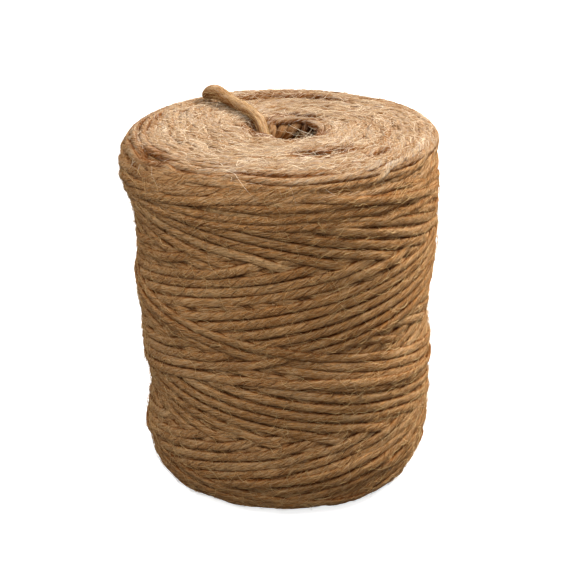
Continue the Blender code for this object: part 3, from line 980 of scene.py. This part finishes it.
def inner_form():
    """Vertices, faces and values of a closed ring whose section is the ball's outline set inwards.

    The depth is that of the crowns, and that of the grooves times the cube of a cosine across each rib.
    """
    rows = np.arange(LIP_LEFT, outline_walked[-1] - LIP_LEFT, RIB / 4)
    depth = RIB_DEPTH + RIB_GROOVE * abs(np.cos(np.pi * rows / RIB)) ** 3
    radius, height = read_off(rows, outline_walked, outline).T
    lean_out, lean_up = read_off(rows, outline_walked, outline_out).T
    wall_height = np.linspace(height[-1] + WALL_SHORT, height[0] - WALL_SHORT, WALL_ROWS)
    radius = np.concatenate([radius - lean_out * depth, np.full(WALL_ROWS, HOLE_RADIUS + WALL_OUT)])
    height = np.concatenate([height - lean_up * depth, wall_height])
    turn = np.arange(0, 360, 3.6)[:, None]
    turn, radius, height = np.broadcast_arrays(turn, radius, height)
    height = height - hollows(turn, radius) * (height > BALL_HEIGHT - 6)
    here = np.arange(turn.size).reshape(turn.shape)
    beside = np.roll(here, -1, axis=0)
    quads = np.stack([here, np.roll(here, -1, axis=1), np.roll(beside, -1, axis=1), beside], axis=-1)
    grain = np.stack([np.radians(turn) * radius, height, radius], axis=-1)

    # The ply angle of 60 degrees lies on the crown of a ply, so that no groove is drawn.
    even = np.ones(turn.size)
    # Its tone is darker, and its shade value sits where the painted shade of a gap starts, so that the
    # streaks darken it in dashes.
    values = {"grain": grain.reshape(-1, 3), "plies": np.stack([even * 0.5, even * 0.87, 0 * even], axis=-1),
              "tone": -0.1 * even, "shade": EDGE_START * even, "brushed": 0 * even}
    return place(turn, height, radius).reshape(-1, 3), (quads.reshape(-1, 4),), values


make_piece("inner_ball", "wound_ball", *inner_form(), wound_jute)


# Loose fibres. Jute is spun from short fibres, and many ends stand out of the yarn. They lie
# nearly flat on the ball, mostly along the turns, and make a felt on its two faces, paler on the
# top with painted top light and sheen.

FIBRE_POINTS = 5
FIBRE_HALF = 0.05                # mm, half a fibre's thickness, three times a real one's so that it shows
BOLD_FIBRE_HALF = 0.055          # mm, for the few across the hole
FIBRE_LENGTHS = (2.0, 22.0)      # mm, shortest and longest
FIBRE_WAVE = 0.25                # radians that the wave turns it to each side
FIBRE_SUNK = 0.12                # mm that its ends lie in the yarn
GROUND_LIMIT = 3.0               # mm below the finished form that it can lie at most
ALONG = np.linspace(0, 1, FIBRE_POINTS)


def ground_under(field, angle, other, low):
    """Value of a field between its cells along each fibre, which bridges the dips in it."""
    column_at = angle / 360 * TURN_CELLS
    row_at = np.clip((other - low) / CELL_HEIGHT, 0, field.shape[1] - 1.001)
    left, lower = np.floor(column_at).astype(int), row_at.astype(int)
    across, up = column_at - left, row_at - lower
    left, right = left % TURN_CELLS, (left + 1) % TURN_CELLS
    ground = ((field[left, lower] * (1 - across) + field[right, lower] * across) * (1 - up)
              + (field[left, lower + 1] * (1 - across) + field[right, lower + 1] * across) * up)
    bridged = np.maximum(ground, (np.roll(ground, 1, axis=1) + np.roll(ground, -1, axis=1)) / 2)
    bridged[:, 0], bridged[:, -1] = ground[:, 0], ground[:, -1]
    return bridged


def fibre_paths(count, heading_spread, length, bend, chance):
    """Flat paths of fibres from their own starts: how far round and up in mm, and the lift over the yarn.

    A path is an arc whose heading changes evenly, with a wave on it, and its lift is a low arch
    with its ends in the yarn.
    """
    each = (count, 1)
    reach = np.clip(length * np.exp(chance.normal(0, 0.5, each)), *FIBRE_LENGTHS)
    heading = chance.normal(0, heading_spread, each) + chance.normal(0, bend, each) * (ALONG - 0.5) * reach
    waves = ALONG * chance.uniform(0.5, 1.6, each) + chance.uniform(0, 1, each)
    heading = heading + FIBRE_WAVE * np.sin(2 * np.pi * waves)
    step = reach / (FIBRE_POINTS - 1)
    across = np.cumsum(np.cos(heading) * step, axis=1)
    up = np.cumsum(np.sin(heading) * step, axis=1)
    arc = np.sin(np.pi * ALONG)
    lift = chance.gamma(1.6, 0.14, each) * arc ** 0.8 - FIBRE_SUNK + FIBRE_SUNK * arc
    return across - across[:, :1], up - up[:, :1], lift


def side_fibres(count, chance):
    """Fibres on the round side: their paths are wrapped round it, each at its own lift over the turns."""
    each = (count, 1)
    across, up, lift = fibre_paths(count, heading_spread=0.75, length=4.6, bend=0.24, chance=chance)
    height = chance.uniform(4, 112, each) + up * np.where(chance.random(each) < 0.5, 1, -1)
    angle = chance.uniform(0, 360, each) + np.degrees(across / LAST_RADIUS)
    height = np.clip(height, 2, 115)
    return place(angle, height, ground_under(side_ground, angle, height, LOWEST_CELL) + lift)


def face_fibres(count, field, sign, chance):
    """Fibres on a flat face: their paths start along the rings and lie at the height of the turns there."""
    each = (count, 1)
    across, up, lift = fibre_paths(count, heading_spread=0.6, length=5.4, bend=0.2, chance=chance)
    turn = np.radians(chance.uniform(0, 360, each))
    start_radius = np.sqrt(chance.uniform(12.5 ** 2, 49.0 ** 2, each))
    flip = np.where(chance.random(each) < 0.5, 1, -1)
    x = start_radius * np.sin(turn) + flip * (across * np.cos(turn) + up * np.sin(turn))
    y = -start_radius * np.cos(turn) + flip * (across * np.sin(turn) - up * np.cos(turn))
    radius = np.clip(np.hypot(x, y), HOLE_RADIUS + 0.8, 50.5)
    angle = np.degrees(np.arctan2(x, -y))
    return place(angle, sign * (ground_under(field, angle, radius, 0.0) + lift), radius)


def hole_fibres(count, chance):
    """Fibres across the mouth of the hole: chords from lip to lip, or down to its wall, bowed and sagging."""
    each = (count, 1)
    arc = np.sin(np.pi * ALONG)
    start = chance.uniform(0.5, 1.5, each)
    end = start + chance.uniform(1.2, 2.5, each)
    near, far = chance.uniform(9.5, 12.0, each), chance.uniform(8.5, 11.5, each)
    bow = chance.normal(0, 1.6, each) * arc + chance.normal(0, 0.7, each) * np.sin(2 * np.pi * ALONG)
    x = near * np.sin(start) * (1 - ALONG) + far * np.sin(end) * ALONG + bow * np.cos(start)
    y = -near * np.cos(start) * (1 - ALONG) - far * np.cos(end) * ALONG + bow * np.sin(start)
    drop = np.where(chance.random(each) < 0.5, 0.5, chance.uniform(1.0, 3.0, each))
    height = 115.6 - drop * ALONG - chance.uniform(0.2, 1.4, each) * arc
    return np.stack([HOLE_PLACE[0] + x, HOLE_PLACE[1] + y, height], axis=-1) * MM


def strand_fibres(count, line, reach, chance):
    """Fibres round one strand: they start on its surface, run along it and wind round it a little."""
    each = (count, 1)
    travelled = np.arange(len(line)) / (len(line) - 1)
    place_on = chance.uniform(0.05, 0.9, each) + ALONG * chance.uniform(0.08, 0.3, each)
    round_it = (chance.uniform(0, 2 * np.pi, each) + ALONG * chance.normal(0, 0.9, each))[..., None]
    centre = read_off(place_on, travelled, line)
    ahead = unit(read_off(place_on, travelled, np.gradient(line, axis=0)))
    side = unit(np.cross(ahead, [0.2, 0.1, 0.97]))
    away = np.interp(place_on, travelled, reach) + chance.gamma(1.5, 0.12, each) * MM * (0.3 + ALONG)
    return centre + (side * np.cos(round_it) + np.cross(side, ahead) * np.sin(round_it)) * away[..., None]


def fibre_surface(points, thickness, tone):
    """Three-sided tubes along fibre paths, thinner towards their tips, as vertices, faces and values."""
    count = len(points)
    tangent = unit(np.gradient(points, axis=1))
    side = unit(np.cross(tangent, [0.31, 0.22, 0.92]))
    over = np.cross(tangent, side)
    width = thickness[:, None] * (0.35 + 0.65 * np.sin(np.pi * np.clip(ALONG, 0.08, 0.9)))[None, :]
    turn = (2 * np.pi * np.arange(3) / 3)[:, None]
    rings = (points[:, :, None] + (side[:, :, None] * np.cos(turn) + over[:, :, None] * np.sin(turn))
             * width[:, :, None, None])
    tubes = np.arange(count)[:, None] * FIBRE_POINTS + np.arange(FIBRE_POINTS - 1)[None, :]
    first = np.arange(count) * FIBRE_POINTS * 3
    last = first + (FIBRE_POINTS - 1) * 3
    caps = np.concatenate([np.stack([first, first + 2, first + 1], axis=1),
                           np.stack([last, last + 1, last + 2], axis=1)])
    values = {"tone": np.repeat(tone, FIBRE_POINTS * 3)}
    return rings.reshape(-1, 3), (tube_faces(tubes.reshape(-1), 3), caps), values


def fibre_material(name, dark, light):
    """Single jute fibres: a little glossier than spun yarn, each of its own shade between the two given."""
    material, node = empty_material(name)
    tone = node("Attribute", (), attribute_name="tone").outputs["Fac"]
    ramp = node("ValToRGB", (tone,))
    ramp.color_ramp.elements[0].color = linear(dark)
    ramp.color_ramp.elements[1].color = linear(light)
    shader = node("BsdfPrincipled", {"Base Color": ramp, "Roughness": 0.7, "Specular IOR Level": 0.05})
    node("OutputMaterial", (shader,))
    return material


def make_fibres(name, points, chance, material, half=FIBRE_HALF, stands_for="wound_ball"):
    """Fibres along the given paths as one piece, above the floor, half being half their thickness in mm."""
    thickness = half * MM * chance.uniform(0.6, 1.3, len(points))
    points[..., 2] = np.maximum(points[..., 2], 2 * half * MM)
    tones = chance.uniform(0, 1, len(points))
    make_piece(name, stands_for, *fibre_surface(points, thickness, tones), material)


side_form = rounded_radius(np.clip(ROW_HEIGHTS, 0, BALL_HEIGHT))[None, :]
side_ground = np.maximum(side_outer, side_form - GROUND_LIMIT)
face_radius = CELL_HEIGHT * np.arange(FACE_ROWS)[None, :]
top_ground = np.maximum(top_outer, top_height(face_radius) - GROUND_LIMIT)
base_ground = np.maximum(base_outer, -base_height(face_radius) - GROUND_LIMIT)
side_single = fibre_material("single_jute_fibres", "#946430", "#EAC68C")
# A paler copy of the fibre colours: painted top light and sheen on the top, and a painted glint across the
# hole.
lit_pale_fibres = fibre_material("pale_jute_fibres", "#B38C5B", "#FAE6C8")
fibre_chance = np.random.default_rng(23)
make_fibres("side_fibres", side_fibres(7500, fibre_chance), fibre_chance, side_single)
make_fibres("top_fibres", face_fibres(2200, top_ground, 1, fibre_chance), fibre_chance, lit_pale_fibres)
make_fibres("base_fibres", face_fibres(400, base_ground, -1, fibre_chance), fibre_chance, side_single)
make_fibres("hole_fibres", hole_fibres(8, np.random.default_rng(5)), fibre_chance, lit_pale_fibres,
            half=BOLD_FIBRE_HALF)
make_fibres("loose_end_fibres", strand_fibres(160, loose_line, loose_radius, fibre_chance), fibre_chance,
            side_single, stands_for="loose_end")


# Floor and light. White paper lies under the ball and stands on all sides. It glows, so that it
# shows plain white, and it lights nothing. The main soft light comes from the upper right and a
# little behind, a weak one from the front, and a white sky fades away downwards.

SWEEP_REACH, SWEEP_HEIGHT = 4.0, 4.0     # metres
BALL_MIDDLE = (0, 0, 0.10)

corners = [(-SWEEP_REACH, -SWEEP_REACH), (SWEEP_REACH, -SWEEP_REACH), (SWEEP_REACH, SWEEP_REACH),
           (-SWEEP_REACH, SWEEP_REACH)]
floor_mesh = bpy.data.meshes.new("floor")
floor_mesh.from_pydata([(*corner, level) for level in (0, SWEEP_HEIGHT) for corner in corners], [],
                       [(0, 1, 2, 3), (1, 0, 4, 5), (2, 1, 5, 6), (3, 2, 6, 7), (0, 3, 7, 4)])
floor = bpy.data.objects.new("floor", floor_mesh)
bpy.context.collection.objects.link(floor)
floor.visible_diffuse = False
floor.visible_shadow = False
white_paper, paper_node = empty_material("white_paper")
paper = paper_node("BsdfPrincipled", {"Base Color": linear("#F6F5F3"), "Roughness": 0.9,
                                      "Emission Color": linear("#FFFFFF"), "Emission Strength": 0.75})
paper_node("OutputMaterial", (paper,))
floor_mesh.materials.append(white_paper)

world = bpy.data.worlds.new("studio")
world.use_nodes = True
sky = world.node_tree
split = add_node(sky, "SeparateXYZ", (add_node(sky, "TexCoord", ()).outputs["Generated"],))
rise = add_node(sky, "MapRange", (split.outputs["Z"], -0.3, 0.5, 0.0, 0.80), interpolation_type="SMOOTHSTEP")
sky.nodes["Background"].inputs["Color"].default_value = linear("#FFFFFF")
sky.links.new(rise.outputs["Result"], sky.nodes["Background"].inputs["Strength"])
bpy.context.scene.world = world


def soft_light(name, size, energy, place):
    """A square soft light at a place, turned towards the middle of the ball."""
    light = bpy.data.lights.new(name, "AREA")
    light.size = size
    light.energy = energy
    holder = bpy.data.objects.new(name, light)
    holder.location = place
    holder.rotation_euler = (Vector(BALL_MIDDLE) - Vector(place)).to_track_quat("-Z", "Y").to_euler()
    bpy.context.collection.objects.link(holder)


soft_light("main_light", size=0.24, energy=8.75, place=(0.455, 0.13, 0.575))
soft_light("front_light", size=0.22, energy=0.56, place=(-0.08, -0.17, 0.30))
